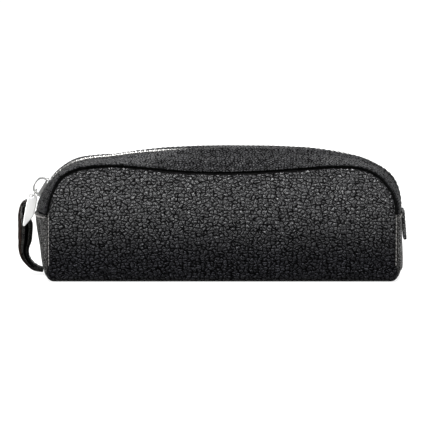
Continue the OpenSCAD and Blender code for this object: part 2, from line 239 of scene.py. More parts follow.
# one stitch along its length: place, share of the thread's radius, and lift in radii
stitchShape = ((-1, 0.35, -0.8), (-0.72, 0.85, -0.1), (0, 1, 0.2), (0.72, 0.85, -0.1), (1, 0.35, -0.8))


def stitches(name, points, outward, material, body, look):
    # each stitch is a short thread sunk a little into the leather
    pts = np.asarray(points)
    out = unit(np.asarray(outward))
    verts, faces = [], []
    sides, last = 6, 6 * (len(stitchShape) - 1)
    for i in range(len(pts) - 1):
        a, b = pts[i], pts[i + 1]
        mid, run = (a + b) / 2, unit(b - a)
        half = np.linalg.norm(b - a) / 2 * look["fill"]
        up = unit(out[i] + out[i + 1])
        side = np.cross(run, up)
        start = len(verts)
        for s, w, lift in stitchShape:
            for k in range(sides):
                angle = k * math.pi / 3
                verts.append(mid + run * (half * s) + up * (look["radius"] * (lift + w * math.sin(angle)))
                             + side * (look["radius"] * w * math.cos(angle)))
        faces += gridFaces(len(stitchShape), sides, start, True)
        faces.append(tuple(start + k for k in range(sides)))
        faces.append(tuple(start + last + k for k in range(sides - 1, -1, -1)))
    row = addMesh(name, verts, faces, material, body)
    return row


def easeEdges(piece, width, segments, angle):
    ease = piece.modifiers.new("ease", "BEVEL")
    ease.width = width * mm
    ease.segments = segments
    ease.limit_method = "ANGLE"
    ease.angle_limit = angle
    piece.data.shade_smooth()
    piece.modifiers.new("shading", "WEIGHTED_NORMAL").keep_sharp = True


def bevelled(nodeName, name, width, material, body, segments=3):
    # a copy of a hard piece with its edges eased
    piece = showObject(name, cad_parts[nodeName].data.copy())
    b = bmesh.new()
    b.from_mesh(piece.data)
    bmesh.ops.remove_doubles(b, verts=b.verts, dist=1e-6)
    bmesh.ops.dissolve_limit(b, angle_limit=0.02, verts=b.verts, edges=b.edges)
    b.to_mesh(piece.data)
    b.free()
    coat(piece.data, material)
    easeEdges(piece, width, segments, 0.5)
    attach(piece, body)
    standFor(nodeName)


# shader groups and materials

def newGroup(name, inputs, outputs):
    # every group takes a vector and some numbers, and gives numbers
    group = bpy.data.node_groups.new(name, "ShaderNodeTree")
    group.interface.new_socket("Vector", in_out="INPUT", socket_type="NodeSocketVector")
    for label, value in inputs.items():
        socket = group.interface.new_socket(label, in_out="INPUT", socket_type="NodeSocketFloat")
        socket.default_value = value
    for label in outputs:
        group.interface.new_socket(label, in_out="OUTPUT", socket_type="NodeSocketFloat")
    return group, group.nodes.new("NodeGroupInput").outputs, group.nodes.new("NodeGroupOutput")


def fill(tree, socket, value):
    # a constant is set on the socket, and anything else is linked to it
    if isinstance(value, (int, float, tuple)):
        socket.default_value = value
    else:
        tree.links.new(value, socket)


def setInputs(tree, made, **values):
    # names are written with underscores for spaces
    for key, value in values.items():
        fill(tree, made.inputs[key.replace("_", " ")], value)


def node(tree, kind, **values):
    # values are for inputs of the node, or else for settings of its own
    made = tree.nodes.new(kind)
    for key, value in values.items():
        if key.replace("_", " ") in made.inputs.keys():
            setInputs(tree, made, **{key: value})
        else:
            setattr(made, key, value)
    return made


def maths(tree, operation, a, b=None, clamp=False):
    made = node(tree, "ShaderNodeMath", operation=operation, use_clamp=clamp)
    fill(tree, made.inputs[0], a)
    if b is not None:
        fill(tree, made.inputs[1], b)
    return made.outputs[0]


def times(tree, a, b):
    return maths(tree, "MULTIPLY", a, b)


def remap(tree, value, low, high, toLow=0.0, toHigh=1.0):
    made = node(tree, "ShaderNodeMapRange", interpolation_type="SMOOTHSTEP", Value=value,
                From_Min=low, From_Max=high, To_Min=toLow, To_Max=toHigh)
    return made.outputs["Result"]


def mixColor(tree, factor, a, b):
    made = node(tree, "ShaderNodeMix", data_type="RGBA")
    for slot, value in (("Factor", factor), ("A", a), ("B", b)):
        fill(tree, [s for s in made.inputs if s.name == slot and s.enabled][0], value)
    return [s for s in made.outputs if s.enabled][0]


def noise(tree, vector, **values):
    return node(tree, "ShaderNodeTexNoise", Vector=vector, **values).outputs


def separate(tree, vector):
    return node(tree, "ShaderNodeSeparateXYZ", Vector=vector).outputs


def vectorMaths(tree, operation, a, b):
    made = node(tree, "ShaderNodeVectorMath", operation=operation)
    fill(tree, made.inputs[0], a)
    fill(tree, made.inputs["Scale"] if operation == "SCALE" else made.inputs[1], b)
    return made.outputs[0]


def makePebbleGrain(name, dimensions):
    # tumbled leather: rounded cells of uneven size with sunk creases between them
    t, given, result = newGroup(name, {"Cells": 500.0, "Flatten": 1.2, "Fine Amount": 0.3},
                                ("Height", "Crease", "Mottle"))
    tall, plain = ("Y", "Z") if dimensions == "2D" else ("Z", "Y")
    scaleBy = node(t, "ShaderNodeCombineXYZ", X=1.0, **{tall: given["Flatten"], plain: 1.0})
    squeezed = vectorMaths(t, "MULTIPLY", given["Vector"], scaleBy.outputs[0])
    # the cells are pushed about a little, so that no two are alike
    warp = noise(t, squeezed, Scale=260.0, Detail=2.0)
    push = vectorMaths(t, "SUBTRACT", warp["Color"], (0.5, 0.5, 0.5))
    warped = vectorMaths(t, "ADD", squeezed, vectorMaths(t, "SCALE", push, 0.0034))

    def cells(factor, randomness):
        scale = times(t, given["Cells"], factor)
        made = node(t, "ShaderNodeTexVoronoi", feature="DISTANCE_TO_EDGE", voronoi_dimensions=dimensions,
                    Vector=warped, Scale=scale, Randomness=randomness)
        return made.outputs["Distance"]

    edges, small = cells(1.0, 0.85), cells(2.3, 1.0)
    mottle = noise(t, given["Vector"], Scale=55.0, Detail=3.0)
    # some creases are deeper than others
    uneven = noise(t, given["Vector"], Scale=330.0, Detail=1.0)
    widen = remap(t, uneven["Fac"], 0.35, 0.65, 0.7, 1.9)
    gap = times(t, edges, widen)
    crease = remap(t, gap, 0.0, 0.3)
    across = maths(t, "MULTIPLY", gap, 1.9, clamp=True)
    dome = times(t, across, maths(t, "SUBTRACT", 2.0, across))    # round like a low cap
    fine = times(t, remap(t, small, 0.0, 0.2), given["Fine Amount"])
    setInputs(t, result, Height=maths(t, "ADD", dome, fine), Crease=crease, Mottle=mottle["Fac"])
    return t


def makeWeave():
    # plain or ribbed cloth from two crossed waves
    t, given, result = newGroup("threadWeave", {"Threads": 1400.0, "Rib": 1.0}, ("Height", "Shade"))
    parts = separate(t, given["Vector"])
    across = maths(t, "ADD", parts["Y"], parts["Z"])
    waves = []
    for place, turns in ((parts["X"], fullTurn), (across, times(t, given["Rib"], fullTurn))):
        counted = times(t, place, given["Threads"])
        waves.append(maths(t, "SINE", times(t, counted, turns)))
    height = maths(t, "ADD", times(t, maths(t, "ADD", *waves), 0.25), 0.5)
    patchy = noise(t, given["Vector"], Scale=900.0, Detail=3.0)
    # painted shade: the colour follows the weave's height, darker in its hollows, with random patches
    setInputs(t, result, Height=height, Shade=times(t, height, patchy["Fac"]))
    return t


def makeHandling():
    # soft smears and fine scratches of a handled surface
    t, given, result = newGroup("handledSurface", {"Smear Size": 120.0, "Scratch": 0.4},
                                ("Smear", "Height"))
    smear = noise(t, given["Vector"], Scale=given["Smear Size"], Detail=4.0, Roughness=0.6)
    pulled = vectorMaths(t, "MULTIPLY", given["Vector"], (1.0, 1.0, 0.08))
    lines = noise(t, pulled, Scale=6000.0, Detail=2.0)
    setInputs(t, result, Smear=smear["Fac"], Height=times(t, lines["Fac"], given["Scratch"]))
    return t


pebbleGrain = makePebbleGrain("pebbleGrain", "2D")
solidGrain = makePebbleGrain("solidGrain", "3D")
threadWeave = makeWeave()
handledSurface = makeHandling()


def grey(value):
    return (value, value, value, 1)


def startMaterial(name):
    material = bpy.data.materials.new(name)
    material.use_nodes = True
    tree = material.node_tree
    shader = tree.nodes["Principled BSDF"]
    where = tree.nodes.new("ShaderNodeTexCoord")
    return material, tree, shader, where.outputs["Object"]


def placeGroup(tree, group, vector, **values):
    return node(tree, "ShaderNodeGroup", node_tree=group, Vector=vector, **values).outputs


def bump(tree, height, distance):
    return node(tree, "ShaderNodeBump", Distance=distance, Height=height).outputs["Normal"]


# the look of the panels' leather; each other leather says what differs
leatherLook = {
    "laidOut": True, "cells": 405.0, "flatten": 1.3, "fine": 0.12, "depth": 0.00115,
    # painted shade: the crease colour is darker than the tops
    "topDark": (0.003, 0.003, 0.0035, 1), "topLight": (0.014, 0.014, 0.017, 1), "crease": grey(0.0015),
    "roughCrease": 0.95, "roughTop": 0.25, "specular": 1.0,
    "fade": (0.01, 0.058), "lowShine": 0.05,     # the heights between which the painted shine grows, and its least; below them the leather is painted darker as shade
}


def makeLeather(name, **changes):
    look = {**leatherLook, **changes}
    material, tree, shader, where = startMaterial(name)
    group, over = solidGrain, where
    if look["laidOut"]:
        hide = node(tree, "ShaderNodeAttribute", attribute_name="hide")
        group, over = pebbleGrain, hide.outputs["Vector"]
    grain = placeGroup(tree, group, over, Cells=look["cells"], Flatten=look["flatten"],
                       Fine_Amount=look["fine"])
    crease = grain["Crease"]
    tops = mixColor(tree, grain["Mottle"], look["topDark"], look["topLight"])
    # painted shade: the creases take a darker colour than the tops, and the creases and the leather towards
    # the bottom lose their shine (metallic over a near-black colour), standing in for shade there
    paintedShineByHeight = remap(tree, separate(tree, where)["Z"], *look["fade"], look["lowShine"], 1.0)
    paintedShineMask = times(tree, crease, paintedShineByHeight)
    setInputs(tree, shader, Base_Color=mixColor(tree, crease, look["crease"], tops),
              Roughness=remap(tree, crease, 0.0, 1.0, look["roughCrease"], look["roughTop"]),
              Metallic=maths(tree, "SUBTRACT", 1.0, paintedShineMask, clamp=True),
              Specular_IOR_Level=look["specular"], Normal=bump(tree, grain["Height"], look["depth"]))
    return material


panelLeather = makeLeather("panelLeather")
# painted shade: the strips lose their shine between their own heights, so they are darker towards their low
# ends
stripLeather = makeLeather(
    "stripLeather", cells=600.0, depth=0.0007, specular=0.42, roughTop=0.4, fade=(0.034, 0.062))
# painted light: the ends' leather is painted lighter and brownish, standing in for a warm reflection
# lighting them; it keeps more of its shine low down
gussetLeatherPaintedLit = makeLeather(
    "gussetLeatherPaintedLit", cells=640.0, depth=0.0006, specular=0.9, roughTop=0.32, fade=(0.0, 0.03), lowShine=0.7,
    topDark=(0.008, 0.0075, 0.007, 1), topLight=(0.034, 0.031, 0.028, 1))
# painted light: the end tab is black leather painted light grey, standing in for the strong light on it from
# the right
tabLeatherPaintedLit = makeLeather(
    "tabLeatherPaintedLit", laidOut=False, cells=700.0, fine=0.3, depth=0.0004, roughTop=0.4, fade=(0.0, 0.01),
    topDark=grey(0.06), topLight=grey(0.2))
strapLeather = makeLeather(
    "strapLeather", cells=900.0, fine=0.35, depth=0.00012, roughTop=0.3, topLight=(0.05, 0.05, 0.046, 1))
strapEdge = makeLeather(
    "strapEdge", cells=900.0, depth=0.00014, specular=0.4, roughTop=0.5,
    topDark=(0.012, 0.007, 0.005, 1), topLight=(0.04, 0.024, 0.018, 1))
# painted shade: near-black, dull leather laid in the seam grooves, on the strips' tucked edges and in the
# strap's gap, where shade falls
paintedGrooveShade = makeLeather(
    "paintedGrooveShade", cells=1500.0, depth=0.00003, specular=0.08, roughTop=0.95,
    topDark=grey(0.001), topLight=grey(0.003))


def makeCloth(name, dark, light, threads=2600.0, rib=1.0, sheen=0.1, depth=0.00006):
    # twisted thread, unless another weave is given
    material, tree, shader, where = startMaterial(name)
    weave = placeGroup(tree, threadWeave, where, Threads=threads, Rib=rib)
    setInputs(tree, shader, Base_Color=mixColor(tree, weave["Shade"], dark, light), Roughness=0.85,
              Sheen_Weight=sheen, Normal=bump(tree, weave["Height"], depth))
    return material


liningCloth = makeCloth("liningCloth", (0.012, 0.012, 0.014, 1), (0.06, 0.06, 0.066, 1),
                        threads=1500.0, sheen=0.2, depth=0.00012)
tapeCloth = makeCloth("tapeCloth", grey(0.006), (0.03, 0.03, 0.032, 1),
                      threads=1250.0, rib=0.5, depth=0.0002)
boardCard = makeCloth("boardCard", (0.2, 0.15, 0.1, 1), (0.34, 0.27, 0.19, 1),
                      threads=700.0, rib=0.3, sheen=0.0, depth=0.00005)
threadBlack = makeCloth("threadBlack", grey(0.008), (0.035, 0.035, 0.037, 1))
threadPale = makeCloth("threadPale", grey(0.1), grey(0.4))
# painted highlight: the seams' thread is pale, standing in for the light caught along the seams' ridges
seamThreadPaintedHighlight = makeCloth("seamThreadPaintedHighlight", (0.16, 0.155, 0.15, 1), (0.42, 0.4, 0.38, 1))


def makeMetal(name, dull, bright, smooth, rough, smear=160.0, scratch=0.25, depth=0.00001):
    material, tree, shader, where = startMaterial(name)
    wear = placeGroup(tree, handledSurface, where, Smear_Size=smear, Scratch=scratch)
    setInputs(tree, shader, Base_Color=mixColor(tree, wear["Smear"], dull, bright), Metallic=1.0,
              Roughness=remap(tree, wear["Smear"], 0.3, 0.7, rough, smooth),
              Normal=bump(tree, wear["Height"], depth))
    return material


toothMetal = makeMetal("toothMetal", (0.5, 0.49, 0.47, 1), (0.8, 0.79, 0.77, 1), 0.2, 0.34,
                       smear=400.0, scratch=0.3, depth=0.00002)
sliderMetal = makeMetal("sliderMetal", grey(0.26), (0.46, 0.46, 0.45, 1), 0.3, 0.4)
tabMetal = makeMetal("tabMetal", (0.9, 0.9, 0.89, 1), (0.97, 0.97, 0.96, 1), 0.4, 0.5)
print("materials made")

# the lines that the leather follows

seamPoints = [(-98.5, 38.4), (-97.4, 44.2), (-95.5, 50.4), (-91, 58.6), (-83, 63.4), (-73, 65.3),
              (-60, 65.9), (-42, 64.6), (-22, 62.8), (0, 62.2), (22, 62.8), (44, 64.3), (64, 65.5),
              (78, 64.4), (88, 59.8), (94.4, 52.3), (97.3, 45.8), (98.1, 38.4)]
bend = {"centre": (-64.8, 27.8), "radius": 41.3, "first": 14.6, "last": 57, "step": 6}
crownPoints = [(-83.5, 64.4), (-78.5, 65.9), (-72.5, 66.9), (-63, 67.8), (-49.5, 69.6), (-35, 70.8),
               (-20, 71.2), (0, 71.3), (22, 71.3), (48, 70.8), (63.5, 69.6), (77, 66.7), (83, 64),
               (89, 60.9), (94.2, 56.4), (97.4, 51.5), (99.5, 45.4), (100.3, 38.4)]
bendAngles = np.radians(np.arange(bend["first"], bend["last"], bend["step"]))
bendX, bendZ = bend["centre"]
bendPoints = [(bendX - bend["radius"] * math.cos(a), bendZ + bend["radius"] * math.sin(a))
              for a in bendAngles]
seamLine = Path(seamPoints)
zipLine = Path(bendPoints + crownPoints)
depthAtHeight = [(0, 25.4), (5, 25.7), (12, 26.1), (22, 26.2), (38, 25.5), (46, 24.4), (52, 23.3),
                 (58, 22.1), (62, 21.4), (66, 20.7)]


def edgeDepth(z):
    heights, depths = zip(*depthAtHeight)
    return np.interp(z, heights, depths)


trayHigh = boxMm("base_panel")[1]
base = {"endSwell": 3.2}     # how far the ends of the base swell in the middle
panel = {
    "halfLength": trayHigh[0] - base["endSwell"], "rim": trayHigh[2], "baseHalfY": trayHigh[1], "swell": 1.9,
    "cornerShare": 0.088,     # how much of the seam belongs to each side of the panel
    "inset": 0.45, "thickness": 1.6, "edgeRound": 2.1,
    "columns": 260, "rows": 110, "crowding": 0.2, "rowStep": 2.5, "rollRows": 12,
    "paintedShadeWidth": ((40, 50, 60), (0.55, 0.9, 1.4)),     # heights, and the width there of the seam's edge painted near-black as shade
    "ripple": 0.16, "pucker": 0.11, "puckerPitch": 3.1, "puckerReach": 2.6,
    "flatShare": 0.95,     # share of the width that is flat, before the ends roll up
    "baseFrom": 20.0,     # where each leather starts under the base, so that the front one covers it
    "middle": 33, "lower": 28, "upper": 33,     # the height of the fullest point, and its reach down and up
}
seamThreadLine = {"pitch": 2.3, "low": 4.5, "high": 44.0, "inFromEnd": 0.9, "sunk": 0.35}


def insetFrom(points, gap):
    # points moved in from the seam, toward the middle of the panel
    toward = unit(pointsAt(points[:, 0] * 0.45, points[:, 1] - 26))
    return points - gap * toward


def sideLine(side):
    # one side of a panel, from the base's rim up and round the start of the seam
    gap, half = panel["inset"], panel["halfLength"]
    low = [(side * half, panel["rim"]), (side * (half - 0.15), 15), (side * (half - 0.2), 27)]
    span = panel["cornerShare"] * seamLine.length
    steps = np.linspace(0, span, 6)
    upper = insetFrom(seamLine.at(steps if side < 0 else seamLine.length - steps), gap)
    return Path(low + [tuple(p) for p in upper])


def endReach(y):
    # how far the ends of the base stand out at depth y
    swell, half = base["endSwell"], panel["baseHalfY"]
    radius = (half * half + swell * swell) / (2 * swell)
    arc = np.sqrt(radius * radius - np.minimum(np.abs(y), half) ** 2)
    return panel["halfLength"] + swell - radius + arc


def baseHeight(x, y, inside):
    # height of the tray's surface, its edges rolled up all round
    radius = panel["rim"] - inside
    qx = np.clip(np.abs(x) - (endReach(y) - panel["rim"]), 0, radius) / radius
    qy = np.clip(np.abs(y) - (panel["baseHalfY"] - panel["rim"]), 0, radius) / radius
    q = np.minimum(1, (qx ** 8 + qy ** 8) ** 0.125)
    return panel["rim"] - radius * np.sqrt(np.maximum(0, 1 - q * q))


def panelDepth(x, z):
    # how far a panel stands out, fullest in its middle
    a = np.clip(np.abs(x) / (panel["halfLength"] + 0.2), 0, 1)
    middle = panel["middle"]
    b = np.where(z < middle, (middle - z) / panel["lower"], (z - middle) / panel["upper"]).clip(0, 1)
    return edgeDepth(z) + panel["swell"] * (1 - a ** 5) * (1 - b ** 4)


def panelPatch(v, columns):
    # a patch between the bottom edge, both side lines and the seam
    w = (columns / panel["halfLength"] + 1) / 2
    left, right = sideLine(-1), sideLine(1)
    span = panel["cornerShare"]
    top = insetFrom(seamLine.at((span + (1 - 2 * span) * w) * seamLine.length), panel["inset"])
    bottom = pointsAt(columns, np.full_like(columns, panel["rim"]))
    lv, rv = left.at(v * left.length), right.at(v * right.length)
    v3, w3 = v[:, None, None], w[None, :, None]
    return ((1 - v3) * bottom[None] + v3 * top[None] + (1 - w3) * lv[:, None] + w3 * rv[:, None]
            - ((1 - w3) * (1 - v3) * bottom[0] + w3 * (1 - v3) * bottom[-1]
               + (1 - w3) * v3 * top[0] + w3 * v3 * top[-1]))


def outlineDistance(points):
    # distance to the sewn outline, and the length along it of the nearest point
    left, right = sideLine(-1), sideLine(1)
    between = np.linspace(panel["cornerShare"], 1 - panel["cornerShare"], 500) * seamLine.length
    rim = np.concatenate([left.at(np.linspace(0, left.length, 90)),
                          insetFrom(seamLine.at(between), panel["inset"]),
                          right.at(np.linspace(right.length, 0, 90))])
    run = np.concatenate([[0], np.cumsum(np.linalg.norm(np.diff(rim, axis=0), axis=1))])
    flat = points.reshape(-1, 2)
    best, where = np.empty(len(flat)), np.empty(len(flat))
    for k in range(0, len(flat), 4000):
        d = np.linalg.norm(flat[k:k + 4000, None] - rim[None], axis=2)
        nearest = d.argmin(1)
        best[k:k + 4000] = d[np.arange(len(nearest)), nearest]
        where[k:k + 4000] = run[nearest]
    return best.reshape(points.shape[:2]), where.reshape(points.shape[:2])


def leatherWrap(name, side, body):
    # one hide from under the base round the rolled edge and up to the seam
    half, rim = panel["halfLength"], panel["rim"]
    flatY = panel["baseHalfY"] - rim
    baseFrom = side * panel["baseFrom"]
    s = np.linspace(-1, 1, panel["columns"])
    flatShare = panel["flatShare"]
    ends = rise(np.abs(s), flatShare, 1 - flatShare)

    def acrossRow(flat, roll):
        # places across a row, with a flat middle and a roll at either end
        return np.sign(s) * (flat * np.minimum(np.abs(s) / flatShare, 1) + roll * np.sin(ends * math.pi / 2))

    def baseRows(inside):
        # flat rows, then rows round the rolled edge
        roll = rim - inside
        flatRows = max(3, int(abs(flatY - baseFrom) / panel["rowStep"]))
        turns = np.linspace(0, math.pi / 2, panel["rollRows"])
        y = np.concatenate([np.linspace(baseFrom, flatY, flatRows)[:-1], flatY + roll * np.sin(turns[:-1])])
        x = acrossRow((endReach(y) - rim)[:, None], roll)
        y = np.repeat(y[:, None], len(s), 1)
        return pointsAt(x, side * y, baseHeight(x, y, inside))

    outerBase, innerBase = baseRows(0.0), baseRows(panel["thickness"])
    columns = acrossRow(half - 1, 1)
    # panel rows, closer together towards the seam
    v = np.linspace(0, 1, panel["rows"])
    v = v + panel["crowding"] * np.sin(v * math.pi) * v
    patch = panelPatch(v, columns)
    x, z = patch[..., 0], patch[..., 1]
    near, run = outlineDistance(patch)
    fade = rise(z, rim, 10) * rise(near, 0, 8)
    depth = panelDepth(x, z) + panel["ripple"] * fade * ripple(x, z, 7 if side < 0 else 8, 26)
    pull = bell(near, 0, panel["puckerReach"]) * rise(z, rim, 6)
    depth = depth - panel["pucker"] * pull * beat(run, panel["puckerPitch"], ripple(run, run, 3, 30))
    inside = panelDepth(x, z) - panel["thickness"] - 0.05
    turned = rounded(near, panel["edgeRound"]) * rise(z, rim, 3)
    outer = pointsAt(x, side * (depth - turned), z)
    inner = pointsAt(x * (1 - 0.4 / half), side * inside, z)
    piece = closedSheet(name, np.concatenate([outerBase, outer]), np.concatenate([innerBase, inner]),
                        panelLeather, body)
    # painted shade: the panel's edge along the seam gets the near-black groove leather
    paintedGrooveMask = (near < np.interp(z, *panel["paintedShadeWidth"])) & (z > rim + 1.5)
    paintedGrooveMask = np.concatenate([np.zeros((len(outerBase), len(s)), bool), paintedGrooveMask])
    paintFaces(piece, paintedGrooveMask[1:, 1:] & paintedGrooveMask[:-1, :-1], paintedGrooveShade)
    return piece


frontLeather = leatherWrap("frontLeather", -1, None)
bendWithBase(frontLeather)
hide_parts("front_panel", "base_panel")
rearLeather = leatherWrap("rearLeather", 1, "case")
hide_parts("rear_panel")


def sideSeam(name, side, end):
    # the thread of the upright seam at one end of a panel, pale as a painted highlight along the seam's
    # ridge
    look = seamThreadLine
    z = np.arange(panel["rim"] + look["low"], look["high"], look["pitch"])
    seamX = end * (panel["halfLength"] - look["inFromEnd"])
    line = pointsAt(np.full(len(z), seamX), side * (edgeDepth(z) - look["sunk"]), z)
    row = stitches(name, line, np.repeat([[end * 0.5, side, 0]], len(z), 0), seamThreadPaintedHighlight,
                   "case" if side > 0 else None, {"radius": 0.26, "fill": 0.96})
    if side < 0:
        bendWithBase(row)


for sideName, side in (("front", -1), ("rear", 1)):
    for endName, end in (("Left", -1), ("Right", 1)):
        sideSeam(sideName + "Seam" + endName, side, end)
print("front and rear leather made")

# zip strips

strip = {
    "gap": 5.2, "stations": 420,
    # share of the way from the seam to the zip, height, and height that comes with fullness
    "outer": [(0.02, -1.9, 0), (-0.01, -1.1, 0), (-0.032, -0.3, 0), (-0.03, 0.5, 0.1), (-0.005, 1.05, 0.25),
              (0.035, 1.3, 0.45), (0.08, 1.2, 0.7), (0.12, 0.98, 0.95), (0.17, 0.95, 1.3), (0.34, 1.05, 2.5),
              (0.56, 1, 3.3), (0.76, 0.9, 3.5), (0.9, 0.85, 2.3), (0.965, 0.75, 0.9), (0.995, 0.4, 0.1)],
    "inner": [(0.997, -0.25, 0), (0.95, -0.3, 0.9), (0.87, -0.2, 2.2), (0.74, -0.15, 3.2), (0.56, -0.1, 3.1),
              (0.36, -0.05, 2.4), (0.2, -0.15, 1.5), (0.12, -0.4, 0.7), (0.08, -0.9, 0.2), (0.06, -1.9, 0)],
    # fullness along the case: most round the end bend and along the sagging middle
    "fullness": [(0, 0.2), (0.03, 0.2), (0.06, 0.2), (0.11, 0.2), (0.14, 0.15), (0.165, 0.1), (0.19, 0.02),
                 (0.25, 0.02), (0.3, 0.25), (0.36, 0.6), (0.41, 0.83), (0.47, 1), (0.56, 1), (0.64, 0.85),
                 (0.7, 0.62), (0.76, 0.3), (0.8, 0.12), (0.86, 0.08), (0.9, 0.15), (0.95, 0.25), (1, 0.2)],
    "pucker": 0.34, "puckerPitch": 2.7, "zipPucker": 0.07, "zipPitch": 3.4, "ripple": 0.22, "endRound": 1.1,
    # shares of the way to the zip where it is sewn, folded and raised, each with its reach
    "sewnAt": (0.03, 0.07), "foldedAt": (0.93, 0.05), "raisedAt": (0.86, 0.13),
    # how far the front leather stands up toward the right end, and between which shares of the length
    "raised": 1.5, "raisedAlong": (0.3, 0.5, 0.92, 0.98),
    "stitchPitch": 2.9, "stitchAt": 0.87,
}
fullLine = smoothPath(strip["fullness"], 8)


def fullness(f):
    return np.interp(f, fullLine[:, 0], fullLine[:, 1])


def stripFrame(f, side):
    # where a strip starts at the seam, its straight way to the zip, and the way up from that
    s, z = seamLine.at(f * seamLine.length), zipLine.at(f * zipLine.length)
    start = pointsAt(s[:, 0], side * (edgeDepth(s[:, 1]) - 0.1), s[:, 1])
    end = pointsAt(z[:, 0], np.full(len(f), side * strip["gap"]), z[:, 1])
    run = seamLine.along(f * seamLine.length) + zipLine.along(f * zipLine.length)
    run = unit(pointsAt(run[:, 0], np.zeros(len(f)), run[:, 1]))
    chord = end - start
    up = unit(np.cross(run, chord) * (1 if side < 0 else -1))
    return start, chord, up


def stripHeight(f, t, b, extra, side):
    # height of the leather over the straight line from seam to zip
    run = f * seamLine.length
    height = b + fullness(f) * extra
    outside = b > 0.3
    puckers = beat(run, strip["puckerPitch"], 1.5 * ripple(run, run, 11, 23))
    height = height - strip["pucker"] * bell(t, *strip["sewnAt"]) * puckers
    pulls = np.cos(run * fullTurn / strip["zipPitch"])
    height = height - strip["zipPucker"] * bell(t, *strip["foldedAt"]) * pulls * outside
    uneven = np.sin(np.clip(t, 0, 1) * math.pi) * ripple(run, t * 18, 21 + side, 24)
    height = height + strip["ripple"] * uneven
    if side < 0:
        # toward the right end the front leather stands up and hides the zip from the front
        raised = np.interp(f, strip["raisedAlong"], (0, 1, 1, 0))
        height = height + strip["raised"] * raised * bell(t, *strip["raisedAt"])
    ends = np.minimum(f, 1 - f) * seamLine.length
    return height - rounded(ends, strip["endRound"]) * outside


def zipStrip(name, side, body, nodeName):
    f = 0.0015 + 0.997 * np.linspace(0, 1, strip["stations"])
    start, chord, up = stripFrame(f, side)
    profile = smoothPath(strip["outer"] + strip["inner"] + strip["outer"][:1], 3)[:-1]
    t, b, extra = profile.T
    bulge = stripHeight(f[:, None], t[None], b[None], extra[None], side)
    rings = start[:, None] + chord[:, None] * t[None, :, None] + up[:, None] * bulge[..., None]
    piece = closedRod(name, rings, stripLeather, body)
    # painted shade: the strip's edge tucked into the seam gets the near-black groove leather
    hiddenEdge = (t < 0.01) & (b < 0.35) | (b < -0.5)
    paintFaces(piece, np.repeat(hiddenEdge[None], len(f) - 1, 0), paintedGrooveShade)
    standFor(nodeName)
    # a row of stitches along the folded edge by the zip
    count = int(zipLine.length / strip["stitchPitch"])
    g = np.linspace(0.012, 0.988, count)
    start, chord, up = stripFrame(g, side)
    at = strip["stitchAt"]
    lift = stripHeight(g, np.full(count, at), np.full(count, 0.9), np.full(count, 2.62), side)
    stitches(name + "Stitches", start + chord * at + up * lift[:, None], up, threadBlack, body,
             {"radius": 0.24, "fill": 0.8})


zipStrip("frontStrip", -1, "front_half", "front_zip_strip")
zipStrip("rearStrip", 1, "case", "rear_zip_strip")
print("zip strips made")

# end gussets

gusset = {
    "seamHeight": 38.4, "columns": 90, "rows": 70, "thickness": 1.4, "edgeRound": 1.2,
    "pucker": 0.4, "puckerPitch": 2.5, "puckerReach": 2.2, "inFromPanel": 2.0, "ripple": 0.35,
    "piping": 0.7, "pipingAt": (1.3, 0.8), "topPucker": 0.15, "topPitch": 2.9, "topReach": 2.5, "dip": 0.5,
    # how far each end stands out at the base, what it gains up to the cross seam, and its extra bulge
    "swell": {-1: (3.2, 4.7, 0), 1: (3.9, -1.3, 1)},
}


def endSwell(side, t):
    # how far the end stands out in its middle, from the base (0) to the cross seam (1)
    low, gain, bulge = gusset["swell"][side]
    return low + gain * t ** 0.8 + bulge * np.sin(math.pi * np.minimum(t, 1) ** 0.6)


def gussetGrid(side, columns, rows, inside, margin=0.0):
    # an end's surface, or with inside given, the plain one that lies so far inside it
    z = np.linspace(panel["rim"] + 0.3 + margin, gusset["seamHeight"] - 0.5 - margin, rows)
    a = -np.cos(np.linspace(0, math.pi, columns))
    a, z = np.meshgrid(a, z)
    w = edgeDepth(z) - gusset["inFromPanel"] - margin
    y = w * a
    t = rise(z, 5, gusset["seamHeight"] - 5)
    x = panel["halfLength"] + 0.2 + endSwell(side, t) * np.maximum(0, 1 - a * a) ** 0.75
    dip = gusset["dip"] * (1 - a * a) * t
    if inside is None:
        beside = w - np.abs(y)
        near = np.minimum(beside, np.minimum(z - z[0, 0] + 0.2, z[-1, 0] - z))
        x = x - rounded(near, gusset["edgeRound"])
        x = x + gusset["piping"] * bell(beside, *gusset["pipingAt"])
        sewn = bell(beside, 0, gusset["puckerReach"])
        x = x - gusset["pucker"] * sewn * beat(z, gusset["puckerPitch"])
        x = x + gusset["ripple"] * ripple(y, z, 31 + side, 22) * rise(near, 0, 5)
        top = bell(z, z[-1, 0], gusset["topReach"])
        x = x - gusset["topPucker"] * top * beat(y, gusset["topPitch"])
    else:
        x = x - inside
    return pointsAt(side * x, y, z - dip)


def endGusset(name, side, nodeName):
    outer = gussetGrid(side, gusset["columns"], gusset["rows"], None)
    inner = gussetGrid(side, gusset["columns"], gusset["rows"], gusset["thickness"])
    piece = closedSheet(name, outer, inner, gussetLeatherPaintedLit, None)
    bendWithEnds(piece)
    standFor(nodeName)
    # a row of thread just under the cross seam, pale as a painted highlight along the seam's ridge
    line = outer[-4, 3:-3:3] + (side * 0.25, 0, 0)
    row = stitches(name + "Stitches", line, np.repeat([[side, 0, 0.3]], len(line), 0), seamThreadPaintedHighlight, None,
                   {"radius": 0.3, "fill": 0.9})
    bendWithEnds(row)


endGusset("leftGusset", -1, "left_end_gusset")
endGusset("rightGusset", 1, "right_end_gusset")
print("end gussets made")

# linings, tapes and board

lining = {"thickness": 0.5, "inFromPanel": 2.05, "floor": 6, "slack": 0.25, "inFromEnd": (1.7, 2.3)}


